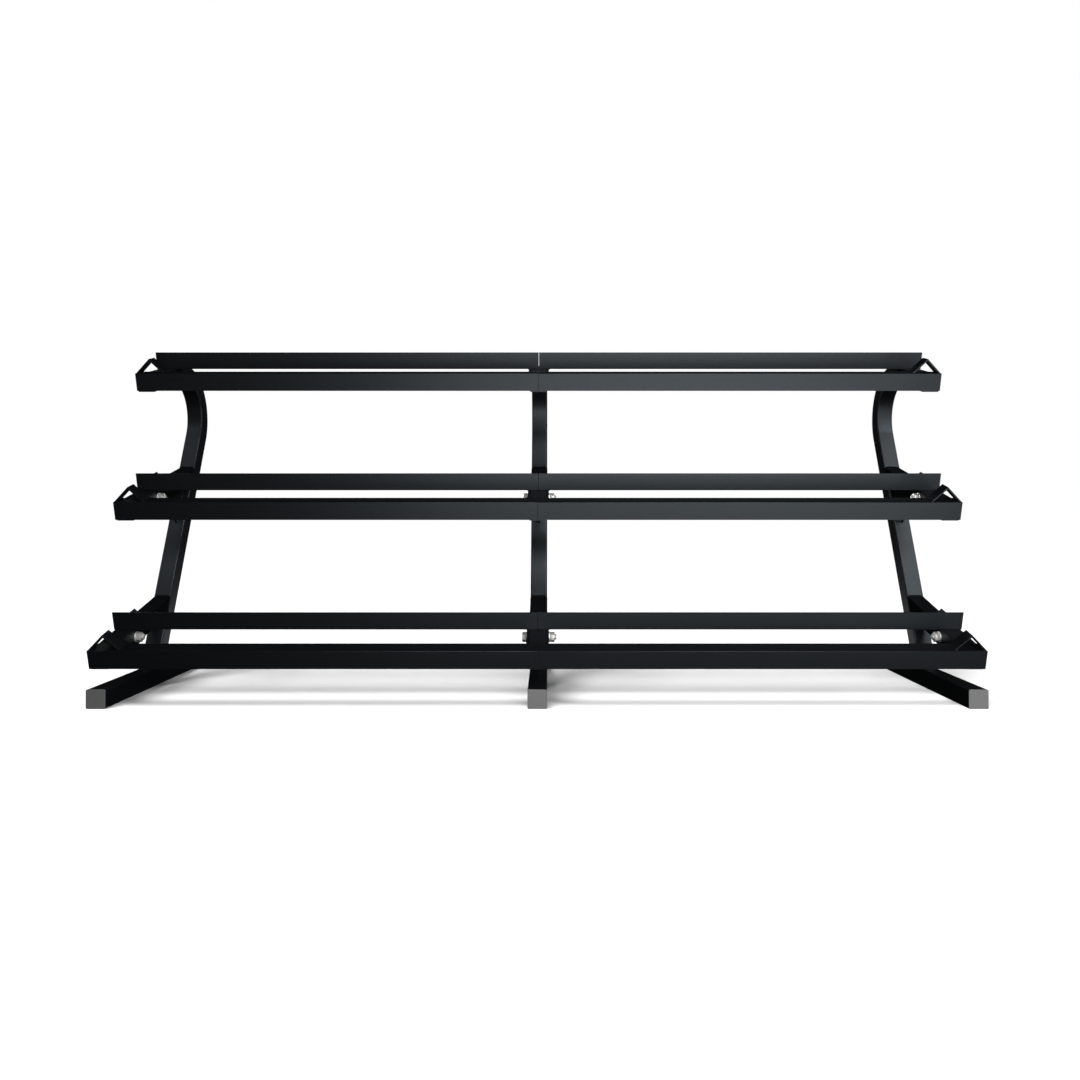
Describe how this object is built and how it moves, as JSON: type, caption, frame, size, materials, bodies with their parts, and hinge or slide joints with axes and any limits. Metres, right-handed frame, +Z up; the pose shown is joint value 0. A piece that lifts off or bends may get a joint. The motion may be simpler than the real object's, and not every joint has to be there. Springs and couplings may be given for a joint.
{
  "type": "three-tier dumbbell rack",
  "caption": "Long free-standing rack with sloping angle-iron shelves on bent square-tube frames, for storing dumbbells in tiers.",
  "frame": {"origin": "middle of the footprint, on the floor", "axes": "+X along the rack to the right as seen from the front, +Y to the rear, +Z up"},
  "size_m": [2.346, 0.7, 0.9936],
  "materials": {
    "frame_coat": "black powder coat, satin, very fine texture",
    "rail_coat": "black powder coat, satin, very fine texture",
    "zinc": "bright zinc plate",
    "foot_cap": "light grey moulded plastic",
    "arm_plug": "black moulded plastic"
  },
  "bodies": {
    "root": {"foot_left": "frame_coat", "foot_center": "frame_coat", "foot_right": "frame_coat", "upright_left": "frame_coat", "upright_center": "frame_coat", "upright_right": "frame_coat", "arm_middle_left": "frame_coat", "arm_middle_center": "frame_coat", "arm_middle_right": "frame_coat", "arm_bottom_left": "frame_coat", "arm_bottom_center": "frame_coat", "arm_bottom_right": "frame_coat", "gusset_left": "frame_coat", "gusset_center": "frame_coat", "gusset_right": "frame_coat", "front_rail_top_left": "rail_coat", "front_rail_top_right": "rail_coat", "front_rail_middle_left": "rail_coat", "front_rail_middle_right": "rail_coat", "front_rail_bottom_left": "rail_coat", "front_rail_bottom_right": "rail_coat", "back_rail_top_left": "rail_coat", "back_rail_top_right": "rail_coat", "back_rail_middle_left": "rail_coat", "back_rail_middle_right": "rail_coat", "back_rail_bottom_left": "rail_coat", "back_rail_bottom_right": "rail_coat", "plate_top_left_outer": "frame_coat", "plate_top_left_inner": "frame_coat", "plate_top_right_inner": "frame_coat", "plate_top_right_outer": "frame_coat", "plate_middle_left_outer": "frame_coat", "plate_middle_left_inner": "frame_coat", "plate_middle_right_inner": "frame_coat", "plate_middle_right_outer": "frame_coat", "plate_bottom_left_outer": "frame_coat", "plate_bottom_left_inner": "frame_coat", "plate_bottom_right_inner": "frame_coat", "plate_bottom_right_outer": "frame_coat", "front_stop_top_left": "rail_coat", "front_stop_top_right": "rail_coat", "front_stop_middle_left": "rail_coat", "front_stop_middle_right": "rail_coat", "front_stop_bottom_left": "rail_coat", "front_stop_bottom_right": "rail_coat", "back_stop_top_left": "rail_coat", "back_stop_top_right": "rail_coat", "back_stop_middle_left": "rail_coat", "back_stop_middle_right": "rail_coat", "back_stop_bottom_left": "rail_coat", "back_stop_bottom_right": "rail_coat", "foot_caps_front": "foot_cap", "foot_caps_rear": "foot_cap", "arm_plugs": "arm_plug", "bolts": "zinc", "washers": "zinc", "nuts": "zinc"}
  },
  "joints": []
}
